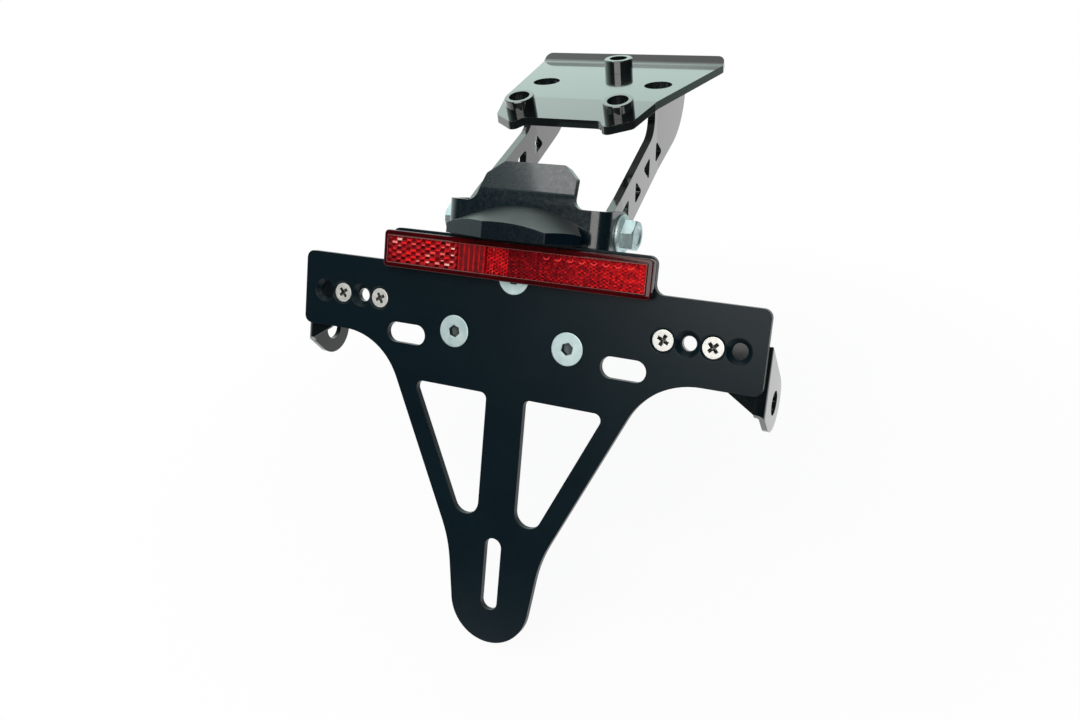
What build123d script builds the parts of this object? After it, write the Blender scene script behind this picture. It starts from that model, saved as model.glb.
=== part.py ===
"""Tail tidy: the folded sheet holder that carries a number plate behind a motorcycle's seat.

Millimetres. The origin is on the axis of the front sleeve, in the top face of the mount plate.
X points right as seen from behind, Y towards the front of the motorcycle and Z up.
"""
import os
from math import cos, radians, sin, sqrt, tan

from build123d import *

os.makedirs("parts", exist_ok=True)

# Clearances
round_gap = 0.3  # between round faces of pieces that are fixed to each other
lens_gap = 0.2  # round the edge of a lens in its seat
pivot_gap = 0.08  # pivot bolt in the ear of the light bracket, on the radius
slide_gap = 0.1  # beside the ear at the pivot
fold_relief = 1.0  # slit at the end of a fold

# Mount plate, bolted under the tail
plate_t = 3.0
plate_bend_r = 4.0
plate_corner_r = 2.5
front_y = 13.2
front_half = 40.6
lip_len = 4.5
lip_angle = radians(40)
lip_half = 39.8
lip_corner_r = 3.0
bend_y = -41.5
rear_angle = radians(10)
waist_y = -42.9
waist_half = 31.1
heel_y = -57.2
heel_half = 27.8
toe_y = -63.4
toe_half = 18.5
notch_y = -58.4
notch_half = 15.4
lead_hole_d = 10.9
lead_hole_x = 24.06
lead_hole_y = -19.5

# Sleeves that the fixing bolts pass through
sleeve_d = 11.5
spigot_d = 9.6
sleeve_edge = 0.3
front_bore_d = 7.2
front_sleeve_h = 5.2
rear_bore_d = 8.0
rear_sleeve_h = 4.9
rear_sleeve_x = 20.1
rear_sleeve_y = -51.25

# Arms welded under the mount plate
arm_t = 3.0
arm_root_x = 24.5
arm_bend_r = 20.0
arm_set_y = -31.5
arm_width = 15.6
arm_slope = radians(15.2)
arm_front_y = -33.4
arm_front_r = 9.0
arm_rear_y = 5.4
arm_heel_y = -1.2
arm_heel_r = 24.0
truss_count = 4
truss_first = 12.9
truss_pitch = 13.4
truss_r = 5.0
truss_corner_r = 1.0
truss_drop = 0.3
truss_stagger = 0.6

# Pivot, one flange bolt in each arm
pivot_y = -82.8
pivot_z = -35.6
pivot_v = 32.55  # above the row of holes in the carrier, along its face
pivot_n = -18.05  # behind the front face of the carrier
pivot_bolt_d = 6.0
flange_d = 14.2
flange_t = 1.4
pivot_head_af = 10.0
pivot_head_h = 4.7
pivot_nut_h = 6.0
pivot_bolt_end = 1.5

# Number plate carrier, drawn in its own leaning plane
carrier_lean = radians(22.17)
carrier_t = 2.5
carrier_half = 91.5
carrier_top_v = 14.86
carrier_low_v = -13.7
carrier_corner_r = 3.0
crown_half = 52.0
crown_top_v = 27.4
crown_corner_r = 3.0
crown_root_r = 3.5
shoulder_u = 54.4
shoulder_r = 27.0
side_angle = radians(25.4)
neck_v = -88.0
neck_r = 50.0
neck_angle = radians(7.6)
tip_v = -108.3
tip_r = 16.2
window_top_v = -28.8
window_inner_u = 7.6
window_rim = 7.35
window_top_r = 2.5
window_low_r = 5.5
side_slot_u = 43.8
side_slot_v = -11.9
side_slot_len = 16.8
slot_width = 7.7
tail_slot_w = 6.85
tail_slot_top_v = -83.2
tail_slot_low_v = -111.6
row_first_u = 56.7
row_pitch = 8.57
row_holes = 4
row_hole_d = 5.6
row_sink_d = 9.0

# Light bracket behind the carrier
bracket_t = 2.5
bracket_low_v = -17.0
bracket_top_v = 40.1
bracket_half = 31.8
bracket_corner_r = 5.0
ear_bend_r = 5.8
ear_lobe_r = 8.0
tab_bend_r = 10.0
tab_angle = radians(29.7)
tab_root_half = 19.3
tab_root_r = 4.0
tab_side_half = 17.8
tab_side_v = 50.1
tab_top_half = 11.9
tab_top_v = 54.8
tab_corner_r = 1.5

# Countersunk screws that hold the carrier on the light bracket
bolt_d = 6.0
bolt_head_d = 12.0
bolt_proud = 0.4
bolt_hole_d = 7.6
bolt_socket_af = 4.0
bolt_socket_depth = 2.2
bolt_low_u = 22.77
bolt_low_v = -7.98
bolt_top_v = 14.2
bolt_nut_af = 10.0
bolt_nut_h = 5.5
bolt_end = 1.5

# Reflector on foam strips
reflector_len = 104.8
reflector_h = 13.6
reflector_v = 19.8
reflector_t = 4.2
reflector_corner_r = 1.6
reflector_rim = 1.6
reflector_base_t = 2.0
reflector_base_inset = 0.3
lens_proud = 0.5
lens_edge = 0.5
tape_t = 0.8
tape_len = 38.0
tape_h = 10.0
tape_u = 30.0

# Number plate lamp
lamp_low_v = 28.0
lamp_back_half = 21.5
lamp_half = 26.2
lamp_side_n = 5.0
lamp_front_left_u = -6.4
lamp_front_right_u = 17.4
lamp_front_n = 15.0
lamp_back_tip_v = 31.6
lamp_back_top_v = 39.6
lamp_mid_n = 6.0
lamp_mid_tip_v = 31.3
lamp_mid_top_v = 36.7
lamp_front_tip_v = 28.9
lamp_front_top_v = 33.9
lamp_wall = 2.0
lamp_lens_t = 1.5
lamp_pocket_half = 14.5
lamp_pocket_n = 0.0
lamp_pocket_depth = 8.0
lamp_pocket_h = 3.6
board_len = 28.0
board_w = 6.0
board_t = 1.2
led_count = 3
led_pitch = 10.0
led_size = 3.0
led_h = 1.4
lamp_screw_u = 17.5
lamp_screw_v = 31.6
lamp_screw_d = 3.0
lamp_screw_head_d = 6.0
lamp_screw_head_h = 2.2
lamp_screw_len = 8.0
lead_v = 31.2
lead_d = 3.0
grommet_d = 7.0
grommet_flange_d = 10.5
grommet_flange_t = 1.5

# Indicator brackets behind the ends of the carrier
wing_t = 2.0
wing_overhang = 0.9
wing_bend_r = 3.0
wing_lap = 0.5
wing_root_u = 50.0
wing_half_h = 7.0
wing_knee_u = 68.7
wing_low_v = -20.0
wing_top_v = 2.6
wing_corner_r = 2.0
wing_lobe_v = -18.1
wing_lobe_n = -17.6
wing_lobe_r = 10.0
wing_bore_d = 8.6
wing_holes = 3
wing_hole_d = 5.0
wing_screw_d = 4.0
wing_screw_head_d = 7.5
wing_screw_sunk = 0.35
wing_screw_end = 1.5
wing_nut_af = 7.0
wing_nut_h = 3.2

# Leaning planes of the carrier: its front face, a plane seen from the side and one seen from above
up_face = Vector(0, sin(carrier_lean), cos(carrier_lean))
out_of_face = Vector(0, -cos(carrier_lean), sin(carrier_lean))
face = Plane(
    origin=Vector(0, pivot_y, pivot_z) - up_face * pivot_v - out_of_face * pivot_n,
    x_dir=(1, 0, 0),
    z_dir=out_of_face,
)
side = Plane(origin=face.origin, x_dir=face.y_dir, z_dir=(1, 0, 0))
above = Plane(origin=face.origin, x_dir=(1, 0, 0), z_dir=face.y_dir)

# Levels behind and before the front face of the carrier
bracket_n = -carrier_t
bracket_back_n = bracket_n - bracket_t
wing_back_n = bracket_n - wing_t
wing_outer = carrier_half + wing_overhang
bolt_sink_r = bolt_head_d / 2 - bolt_proud + sqrt(2) * round_gap
row_screw_u = (row_first_u, row_first_u + 2 * row_pitch)
row_places = [row_first_u + i * row_pitch for i in range(row_holes)]
bolt_places = ((-bolt_low_u, bolt_low_v), (bolt_low_u, bolt_low_v), (0, bolt_top_v))
row_screw_places = [(s * u, 0) for s in (-1, 1) for u in row_screw_u]
lamp_screw_places = ((-lamp_screw_u, lamp_screw_v), (lamp_screw_u, lamp_screw_v))


def countersunk_screw(head_d, shank_d, length):
    """A countersunk screw with its head's flat top at Z 0 and its shank downwards."""
    head_r = head_d / 2
    shank_r = shank_d / 2
    with BuildPart() as screw:
        with BuildSketch(Plane.XZ):
            with BuildLine():
                Polyline(
                    (0, 0),
                    (head_r, 0),
                    (shank_r, shank_r - head_r),
                    (shank_r, -length),
                    (0, -length),
                    close=True,
                )
            make_face()
        revolve(axis=Axis.Z)
    return screw.part


def hex_nut(flats, height, bore_d):
    """A hexagon nut that stands on Z 0."""
    with BuildPart() as nut:
        with BuildSketch():
            RegularPolygon(flats / 2, 6, major_radius=False)
            Circle(bore_d / 2 + round_gap, mode=Mode.SUBTRACT)
        extrude(amount=height)
    return nut.part


def sleeve(seat, height, bore_d):
    """A shouldered sleeve on the plane of its seat, with a spigot through the sheet below."""
    with BuildPart() as tube:
        with BuildSketch(seat):
            Circle(sleeve_d / 2)
        extrude(amount=height)
        chamfer(tube.faces().sort_by(Axis(seat.origin, seat.z_dir))[-1].edges(), sleeve_edge)
        with BuildSketch(seat):
            Circle(spigot_d / 2)
        extrude(amount=-plate_t)
        with BuildSketch(seat.offset(-plate_t)):
            Circle(bore_d / 2)
        extrude(amount=plate_t + height, mode=Mode.SUBTRACT)
    return tube


# Mount plate: the bent section across the bike, cut to the plan outline
rear_len = bend_y - toe_y
lip_run = lip_len * cos(lip_angle)
lip_end_y = front_y + lip_len + plate_t
with BuildPart() as mount_plate:
    with BuildSketch(Plane.YZ):
        with BuildLine():
            FilletPolyline(
                (front_y + lip_run, lip_len * sin(lip_angle)),
                (front_y, 0),
                (bend_y, 0),
                (toe_y - plate_t, -(rear_len + plate_t) * tan(rear_angle)),
                radius=plate_bend_r,
            )
            offset(amount=plate_t, side=Side.LEFT)
        make_face()
    extrude(amount=front_half, both=True)
    with BuildSketch(Plane.XY) as plate_outline:
        with BuildLine():
            Polyline(
                (0, notch_y),
                (notch_half, notch_y),
                (toe_half, toe_y),
                (heel_half, heel_y),
                (waist_half, waist_y),
                (front_half, front_y),
                (lip_half, lip_end_y),
                (0, lip_end_y),
            )
            mirror(about=Plane.YZ)
        make_face()
        corners = plate_outline.vertices().filter_by(lambda p: abs(p.X) > 1 and p.Y < front_y + lip_run)
        fillet(corners, plate_corner_r)
    extrude(amount=plate_t + front_half, both=True, mode=Mode.INTERSECT)
    lip_ends = mount_plate.faces().sort_by(Axis.Y)[-1].edges().filter_by(lambda e: abs(e.center().X) > 1)
    fillet(lip_ends, lip_corner_r)
    with BuildSketch(Plane.XY):
        Circle(spigot_d / 2 + round_gap)
        with Locations((-lead_hole_x, lead_hole_y), (lead_hole_x, lead_hole_y)):
            Circle(lead_hole_d / 2)
    extrude(amount=-plate_t, mode=Mode.SUBTRACT)
    rear_face = Plane(
        origin=(0, bend_y, 0), x_dir=(1, 0, 0), z_dir=(0, -sin(rear_angle), cos(rear_angle))
    )
    rear_sleeve_run = (rear_sleeve_y - bend_y) / cos(rear_angle)
    with BuildSketch(rear_face):
        with Locations((-rear_sleeve_x, rear_sleeve_run), (rear_sleeve_x, rear_sleeve_run)):
            Circle(spigot_d / 2 + round_gap)
    extrude(amount=plate_t, both=True, mode=Mode.SUBTRACT)
mount_plate.part.label = "mount_plate"
export_step(mount_plate.part, "parts/mount_plate.step")

# Sleeves
front_sleeve = sleeve(Plane.XY, front_sleeve_h, front_bore_d)
front_sleeve.part.label = "front_sleeve"
export_step(front_sleeve.part, "parts/front_sleeve.step")

left_seat = rear_face.shift_origin(rear_face.from_local_coords(Vector(-rear_sleeve_x, rear_sleeve_run)))
rear_left_sleeve = sleeve(left_seat, rear_sleeve_h, rear_bore_d)
rear_left_sleeve.part.label = "rear_left_sleeve"
export_step(rear_left_sleeve.part, "parts/rear_left_sleeve.step")

right_seat = rear_face.shift_origin(rear_face.from_local_coords(Vector(rear_sleeve_x, rear_sleeve_run)))
rear_right_sleeve = sleeve(right_seat, rear_sleeve_h, rear_bore_d)
rear_right_sleeve.part.label = "rear_right_sleeve"
export_step(rear_right_sleeve.part, "parts/rear_right_sleeve.step")

# Arms: a sloping strip with a row of triangles, set outwards from the plate to the bracket's ears
arm_half = arm_width / 2
arm_rise = tan(arm_slope)
ear_inner_x = bracket_half - bracket_t
arm_inner_x = ear_inner_x - slide_gap - arm_t
arm_flat_y = pivot_y + flange_d / 2 + fold_relief
arm_top_z = pivot_z + (arm_front_y - pivot_y) * arm_rise + arm_half / cos(arm_slope)
arm_heel_z = pivot_z + (arm_heel_y - pivot_y) * arm_rise - arm_half / cos(arm_slope)
pivot_top = (pivot_y - arm_half * sin(arm_slope), pivot_z + arm_half * cos(arm_slope))
pivot_end = (pivot_y - arm_half * cos(arm_slope), pivot_z - arm_half * sin(arm_slope))
pivot_low = (pivot_y + arm_half * sin(arm_slope), pivot_z - arm_half * cos(arm_slope))
strip = Plane(
    origin=(0, pivot_y, pivot_z), x_dir=(0, cos(arm_slope), sin(arm_slope)), z_dir=(1, 0, 0)
)
with BuildPart() as right_arm:
    with BuildSketch(Plane.XY.offset(-plate_t)):
        with BuildLine():
            FilletPolyline(
                (arm_inner_x, pivot_y - arm_width),
                (arm_inner_x, arm_flat_y),
                (arm_root_x, arm_set_y),
                (arm_root_x, arm_rear_y + arm_t),
                radius=arm_bend_r,
            )
            offset(amount=arm_t, side=Side.RIGHT)
        make_face()
    extrude(amount=pivot_z - arm_width)
    with BuildSketch(Plane.YZ) as arm_outline:
        with BuildLine():
            Polyline(
                pivot_low,
                (arm_heel_y, arm_heel_z),
                (arm_rear_y, -plate_t),
                (arm_front_y, -plate_t),
                (arm_front_y, arm_top_z),
                pivot_top,
            )
            ThreePointArc(pivot_top, pivot_end, pivot_low)
        make_face()
        heel_corner = arm_outline.vertices().sort_by_distance((arm_heel_y, arm_heel_z, 0))
        fillet(heel_corner[0], arm_heel_r)
        front_corner = arm_outline.vertices().sort_by_distance((arm_front_y, arm_top_z, 0))
        fillet(front_corner[0], arm_front_r)
    extrude(amount=bracket_half, mode=Mode.INTERSECT)
    with BuildSketch(strip) as arm_cuts:
        for i in range(truss_count):
            turn = 1 if i % 2 else -1
            with Locations((truss_first + i * truss_pitch, -truss_drop - turn * truss_stagger)):
                RegularPolygon(truss_r, 3, rotation=90 * turn)
        fillet(arm_cuts.vertices(), truss_corner_r)
        Circle(pivot_bolt_d / 2 + round_gap)
    extrude(amount=bracket_half, mode=Mode.SUBTRACT)
right_arm.part.label = "right_arm"
export_step(right_arm.part, "parts/right_arm.step")

with BuildPart() as left_arm:
    mirror(right_arm.part, about=Plane.YZ)
left_arm.part.label = "left_arm"
export_step(left_arm.part, "parts/left_arm.step")

# Light bracket: a panel with a tab bent back at the top and two ears folded back at the sides
with BuildPart() as bracket_ear:
    with BuildSketch(above.offset(pivot_v)) as ear_section:
        with BuildLine():
            FilletPolyline(
                (tab_root_half, carrier_t),
                (bracket_half, carrier_t),
                (bracket_half, ear_lobe_r - pivot_n),
                radius=ear_bend_r,
            )
            offset(amount=bracket_t, side=Side.LEFT)
        make_face()
    extrude(amount=2 * ear_lobe_r, both=True)
    with BuildSketch(side) as ear_outline:
        with Locations((pivot_v, pivot_n)):
            Circle(ear_lobe_r)
        with BuildLine():
            Polyline(
                (pivot_v - ear_lobe_r, bracket_n),
                (bracket_top_v, bracket_n),
                (bracket_top_v, bracket_back_n),
                (pivot_v - ear_lobe_r, bracket_back_n),
                close=True,
            )
        make_face()
        make_hull()
    extrude(amount=bracket_half, mode=Mode.INTERSECT)

ear_low_v = pivot_v - ear_lobe_r
tab_bend_v = bracket_top_v + tab_bend_r * tan(tab_angle / 2)
with BuildPart() as light_bracket:
    with BuildSketch(side):
        with BuildLine():
            FilletPolyline(
                (bracket_low_v, bracket_n),
                (tab_bend_v, bracket_n),
                (tab_top_v, bracket_n - (tab_top_v - tab_bend_v) * tan(tab_angle)),
                radius=tab_bend_r,
            )
            offset(amount=bracket_t, side=Side.RIGHT)
        make_face()
    extrude(amount=bracket_half, both=True)
    with BuildSketch(face) as bracket_outline:
        with BuildLine():
            Polyline(
                (0, tab_top_v),
                (tab_top_half, tab_top_v),
                (tab_side_half, tab_side_v),
                (tab_root_half, bracket_top_v),
                (bracket_half - ear_bend_r, bracket_top_v),
                (bracket_half - ear_bend_r, ear_low_v - fold_relief),
                (bracket_half, ear_low_v - fold_relief),
                (bracket_half, bracket_low_v),
                (0, bracket_low_v),
            )
            mirror(about=Plane.YZ)
        make_face()
        root = bracket_outline.vertices().filter_by(lambda p: abs(abs(p.X) - tab_root_half) < 0.01)
        fillet(root, tab_root_r)
        tips = bracket_outline.vertices().filter_by(lambda p: p.Y > tab_side_v - 0.01 and abs(p.X) > 1)
        fillet(tips, tab_corner_r)
        feet = bracket_outline.vertices().filter_by(lambda p: p.Y < bracket_low_v + 0.01 and abs(p.X) > 1)
        fillet(feet, bracket_corner_r)
    extrude(amount=bracket_half, both=True, mode=Mode.INTERSECT)
    add(bracket_ear.part)
    mirror(bracket_ear.part, about=Plane.YZ)
    with BuildSketch(side.offset(-bracket_half)):
        with Locations((pivot_v, pivot_n)):
            Circle(pivot_bolt_d / 2 + pivot_gap)
    extrude(amount=2 * bracket_half, mode=Mode.SUBTRACT)
    with BuildSketch(face.offset(bracket_n)):
        with Locations(*bolt_places):
            Circle(bolt_d / 2 + round_gap)
        with Locations(*lamp_screw_places):
            Circle(lamp_screw_d / 2 + round_gap)
        with Locations((0, lead_v)):
            Circle(grommet_d / 2)
    extrude(amount=-bracket_t, mode=Mode.SUBTRACT)
light_bracket.part.label = "light_bracket"
export_step(light_bracket.part, "parts/light_bracket.step")

# Number plate carrier: one flat sheet with two windows, slots and countersunk holes
side_run = tan(side_angle)
neck_u = shoulder_u + (neck_v - carrier_low_v) * side_run
tip_join = (tip_r * cos(neck_angle), tip_v - tip_r * sin(neck_angle))
window_edge_u = shoulder_u - window_rim / cos(side_angle)
window_top_u = window_edge_u + (window_top_v - carrier_low_v) * side_run
window_low_v = carrier_low_v - (window_edge_u - window_inner_u) / side_run
with BuildPart() as number_plate_carrier:
    with BuildSketch(face) as carrier_outline:
        with BuildLine():
            Polyline(
                (0, crown_top_v),
                (crown_half, crown_top_v),
                (crown_half, carrier_top_v),
                (carrier_half, carrier_top_v),
                (carrier_half, carrier_low_v),
                (shoulder_u, carrier_low_v),
                (neck_u, neck_v),
                tip_join,
                (0, tip_v),
            )
            mirror(about=Plane.YZ)
        make_face()
        crown = carrier_outline.vertices().filter_by(lambda p: p.Y > carrier_top_v + 1 and abs(p.X) > 1)
        fillet(crown, crown_corner_r)
        roots = carrier_outline.vertices().filter_by(
            lambda p: abs(p.Y - carrier_top_v) < 0.01 and abs(p.X) < carrier_half - 1
        )
        fillet(roots, crown_root_r)
        ends = carrier_outline.vertices().filter_by(lambda p: abs(p.X) > carrier_half - 0.01)
        fillet(ends, carrier_corner_r)
        shoulders = carrier_outline.vertices().filter_by(lambda p: abs(abs(p.X) - shoulder_u) < 0.01)
        fillet(shoulders, shoulder_r)
        neck = carrier_outline.vertices().filter_by(lambda p: abs(p.Y - neck_v) < 0.01)
        fillet(neck, neck_r)
        with Locations((0, tip_v)):
            Circle(tip_r)
    extrude(amount=-carrier_t)
    with BuildSketch(face) as carrier_windows:
        with BuildLine():
            Polyline(
                (window_inner_u, window_top_v),
                (window_top_u, window_top_v),
                (window_inner_u, window_low_v),
                close=True,
            )
        make_face()
        upper = carrier_windows.vertices().filter_by(lambda p: p.Y > window_top_v - 0.01)
        fillet(upper, window_top_r)
        lower = carrier_windows.vertices().filter_by(lambda p: p.Y < window_low_v + 0.01)
        fillet(lower, window_low_r)
        mirror(about=Plane.YZ)
    extrude(amount=-carrier_t, mode=Mode.SUBTRACT)
    with BuildSketch(face):
        with Locations((-side_slot_u, side_slot_v), (side_slot_u, side_slot_v)):
            SlotOverall(side_slot_len, slot_width)
        with Locations((0, (tail_slot_top_v + tail_slot_low_v) / 2)):
            SlotOverall(tail_slot_top_v - tail_slot_low_v, tail_slot_w, rotation=90)
    extrude(amount=-carrier_t, mode=Mode.SUBTRACT)
    with Locations(*[face * Pos(s * u, 0) for s in (-1, 1) for u in row_places]):
        CounterSinkHole(row_hole_d / 2, row_sink_d / 2, counter_sink_angle=90)
    with Locations(*[face * Pos(u, v) for u, v in bolt_places]):
        CounterSinkHole(bolt_hole_d / 2, bolt_sink_r, counter_sink_angle=90)
number_plate_carrier.part.label = "number_plate_carrier"
export_step(number_plate_carrier.part, "parts/number_plate_carrier.step")

# Screws and nuts that hold the carrier on the light bracket
with BuildPart() as bracket_screws:
    with Locations(*[face * Pos(u, v, bolt_proud) for u, v in bolt_places]):
        add(countersunk_screw(bolt_head_d, bolt_d, bolt_proud - bracket_back_n + bolt_nut_h + bolt_end))
    with BuildSketch(face.offset(bolt_proud)):
        with Locations(*bolt_places):
            RegularPolygon(bolt_socket_af / 2, 6, major_radius=False)
    extrude(amount=-bolt_socket_depth, mode=Mode.SUBTRACT)
bracket_screws.part.label = "bracket_screws"
export_step(bracket_screws.part, "parts/bracket_screws.step")

with BuildPart() as bracket_nuts:
    with Locations(*[face * Pos(u, v, bracket_back_n - bolt_nut_h) for u, v in bolt_places]):
        add(hex_nut(bolt_nut_af, bolt_nut_h, bolt_d))
bracket_nuts.part.label = "bracket_nuts"
export_step(bracket_nuts.part, "parts/bracket_nuts.step")

# Pivot: flange bolts through ear and arm, with flange nuts on the inside of the arms
head_x = bracket_half + slide_gap
pivot_axis = Plane(origin=(0, pivot_y, pivot_z), x_dir=(0, 1, 0), z_dir=(1, 0, 0))
with BuildPart() as pivot_bolts:
    with BuildSketch(pivot_axis.offset(head_x)):
        Circle(flange_d / 2)
    extrude(amount=flange_t)
    chamfer(pivot_bolts.faces().sort_by(Axis.X)[-1].edges(), flange_t / 2)
    with BuildSketch(pivot_axis.offset(head_x + flange_t)):
        RegularPolygon(pivot_head_af / 2, 6, major_radius=False)
    extrude(amount=pivot_head_h)
    with BuildSketch(pivot_axis.offset(head_x)):
        Circle(pivot_bolt_d / 2)
    extrude(amount=arm_inner_x - pivot_nut_h - pivot_bolt_end - head_x)
    mirror(about=Plane.YZ)
pivot_bolts.part.label = "pivot_bolts"
export_step(pivot_bolts.part, "parts/pivot_bolts.step")

with BuildPart() as pivot_nuts:
    with BuildSketch(pivot_axis.offset(arm_inner_x)):
        Circle(flange_d / 2)
    extrude(amount=-flange_t)
    chamfer(pivot_nuts.faces().sort_by(Axis.X)[0].edges(), flange_t / 2)
    with BuildSketch(pivot_axis.offset(arm_inner_x)):
        RegularPolygon(pivot_head_af / 2, 6, major_radius=False)
    extrude(amount=-pivot_nut_h)
    with BuildSketch(pivot_axis.offset(arm_inner_x)):
        Circle(pivot_bolt_d / 2 + round_gap)
    extrude(amount=-pivot_nut_h, mode=Mode.SUBTRACT)
    mirror(about=Plane.YZ)
pivot_nuts.part.label = "pivot_nuts"
export_step(pivot_nuts.part, "parts/pivot_nuts.step")

# Reflector: foam strips, a base plate and a lens cap with a raised field
with BuildPart() as reflector_tape:
    with BuildSketch(face):
        with Locations((-tape_u, reflector_v), (tape_u, reflector_v)):
            Rectangle(tape_len, tape_h)
    extrude(amount=tape_t)
reflector_tape.part.label = "reflector_tape"
export_step(reflector_tape.part, "parts/reflector_tape.step")

with BuildPart() as reflector_base:
    with BuildSketch(face.offset(tape_t)):
        with Locations((0, reflector_v)):
            RectangleRounded(
                reflector_len - 2 * reflector_base_inset,
                reflector_h - 2 * reflector_base_inset,
                reflector_corner_r - reflector_base_inset,
            )
    extrude(amount=reflector_base_t)
reflector_base.part.label = "reflector_base"
export_step(reflector_base.part, "parts/reflector_base.step")

lens_top = face.offset(tape_t + reflector_t)
with BuildPart() as reflector_lens:
    with BuildSketch(face.offset(tape_t + reflector_base_t)):
        with Locations((0, reflector_v)):
            RectangleRounded(reflector_len, reflector_h, reflector_corner_r)
    extrude(amount=reflector_t - reflector_base_t)
    fillet(reflector_lens.faces().sort_by(Axis(face.origin, face.z_dir))[-1].edges(), lens_edge)
    with BuildSketch(lens_top):
        with Locations((0, reflector_v)):
            Rectangle(reflector_len - 2 * reflector_rim, reflector_h - 2 * reflector_rim)
    extrude(amount=lens_proud)
    chamfer(reflector_lens.faces().sort_by(Axis(face.origin, face.z_dir))[-1].edges(), lens_proud / 2)
reflector_lens.part.label = "reflector_lens"
export_step(reflector_lens.part, "parts/reflector_lens.step")

# Lamp: a domed housing cut to a six-sided plan, open below for its lens
with BuildPart() as lamp_housing:
    for depth, tip_top, crest in (
        (bracket_n, lamp_back_tip_v, lamp_back_top_v),
        (lamp_mid_n, lamp_mid_tip_v, lamp_mid_top_v),
        (lamp_front_n, lamp_front_tip_v, lamp_front_top_v),
    ):
        with BuildSketch(face.offset(depth)):
            with BuildLine():
                Polyline(
                    (-lamp_half, tip_top),
                    (-lamp_half, lamp_low_v),
                    (lamp_half, lamp_low_v),
                    (lamp_half, tip_top),
                )
                ThreePointArc((lamp_half, tip_top), (0, crest), (-lamp_half, tip_top))
            make_face()
    loft()
    with BuildSketch(above.offset(lamp_low_v)) as lamp_plan:
        with BuildLine():
            Polyline(
                (-lamp_back_half, carrier_t),
                (lamp_back_half, carrier_t),
                (lamp_half, -lamp_side_n),
                (lamp_front_right_u, -lamp_front_n),
                (lamp_front_left_u, -lamp_front_n),
                (-lamp_half, -lamp_side_n),
                close=True,
            )
        make_face()
    extrude(amount=lamp_back_top_v, mode=Mode.INTERSECT)
    with BuildSketch(above.offset(lamp_low_v)) as lens_seat:
        add(lamp_plan.sketch_local)
        offset(amount=-lamp_wall, kind=Kind.INTERSECTION)
    extrude(amount=lamp_lens_t, mode=Mode.SUBTRACT)
    with BuildSketch(above.offset(lamp_low_v + lamp_lens_t)):
        with Locations((0, -lamp_pocket_n - lamp_pocket_depth / 2)):
            Rectangle(2 * lamp_pocket_half, lamp_pocket_depth)
    extrude(amount=lamp_pocket_h, mode=Mode.SUBTRACT)
    with BuildSketch(face.offset(bracket_n)):
        with Locations(*lamp_screw_places):
            Circle(lamp_screw_d / 2 + round_gap)
    extrude(amount=lamp_screw_len, mode=Mode.SUBTRACT)
    with BuildSketch(face.offset(bracket_n)):
        with Locations((0, lead_v)):
            Circle(lead_d / 2)
    extrude(amount=lamp_pocket_n - bracket_n, mode=Mode.SUBTRACT)
lamp_housing.part.label = "lamp_housing"
export_step(lamp_housing.part, "parts/lamp_housing.step")

with BuildPart() as lamp_lens:
    with BuildSketch(above.offset(lamp_low_v)):
        add(lamp_plan.sketch_local)
        offset(amount=-lamp_wall - lens_gap, kind=Kind.INTERSECTION)
    extrude(amount=lamp_lens_t)
lamp_lens.part.label = "lamp_lens"
export_step(lamp_lens.part, "parts/lamp_lens.step")

board_v = lamp_low_v + lamp_lens_t + lamp_pocket_h - board_t
board_n = lamp_pocket_n + lamp_pocket_depth / 2
with BuildPart() as lamp_board:
    with BuildSketch(above.offset(board_v)):
        with Locations((0, -board_n)):
            Rectangle(board_len, board_w)
    extrude(amount=board_t)
lamp_board.part.label = "lamp_board"
export_step(lamp_board.part, "parts/lamp_board.step")

with BuildPart() as lamp_leds:
    with BuildSketch(above.offset(board_v)):
        with Locations((0, -board_n)):
            with GridLocations(led_pitch, 0, led_count, 1):
                Rectangle(led_size, led_size)
    extrude(amount=-led_h)
lamp_leds.part.label = "lamp_leds"
export_step(lamp_leds.part, "parts/lamp_leds.step")

with BuildPart() as lamp_screws:
    with BuildSketch(face.offset(bracket_back_n)):
        with Locations(*lamp_screw_places):
            Circle(lamp_screw_head_d / 2)
    extrude(amount=-lamp_screw_head_h)
    chamfer(lamp_screws.edges().group_by(Axis(face.origin, face.z_dir))[0], lamp_screw_head_h / 3)
    with BuildSketch(face.offset(bracket_back_n)):
        with Locations(*lamp_screw_places):
            Circle(lamp_screw_d / 2)
    extrude(amount=bracket_t + lamp_screw_len - round_gap)
lamp_screws.part.label = "lamp_screws"
export_step(lamp_screws.part, "parts/lamp_screws.step")

with BuildPart() as lamp_grommet:
    with BuildSketch(face.offset(bracket_back_n)):
        with Locations((0, lead_v)):
            Circle(grommet_flange_d / 2)
    extrude(amount=-grommet_flange_t)
    chamfer(lamp_grommet.edges().group_by(Axis(face.origin, face.z_dir))[0], grommet_flange_t / 3)
    with BuildSketch(face.offset(bracket_back_n)):
        with Locations((0, lead_v)):
            Circle(grommet_d / 2 - round_gap)
    extrude(amount=bracket_t)
    with BuildSketch(face.offset(bracket_n)):
        with Locations((0, lead_v)):
            Circle(lead_d / 2)
    extrude(amount=-bracket_t - grommet_flange_t, mode=Mode.SUBTRACT)
lamp_grommet.part.label = "lamp_grommet"
export_step(lamp_grommet.part, "parts/lamp_grommet.step")

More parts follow.
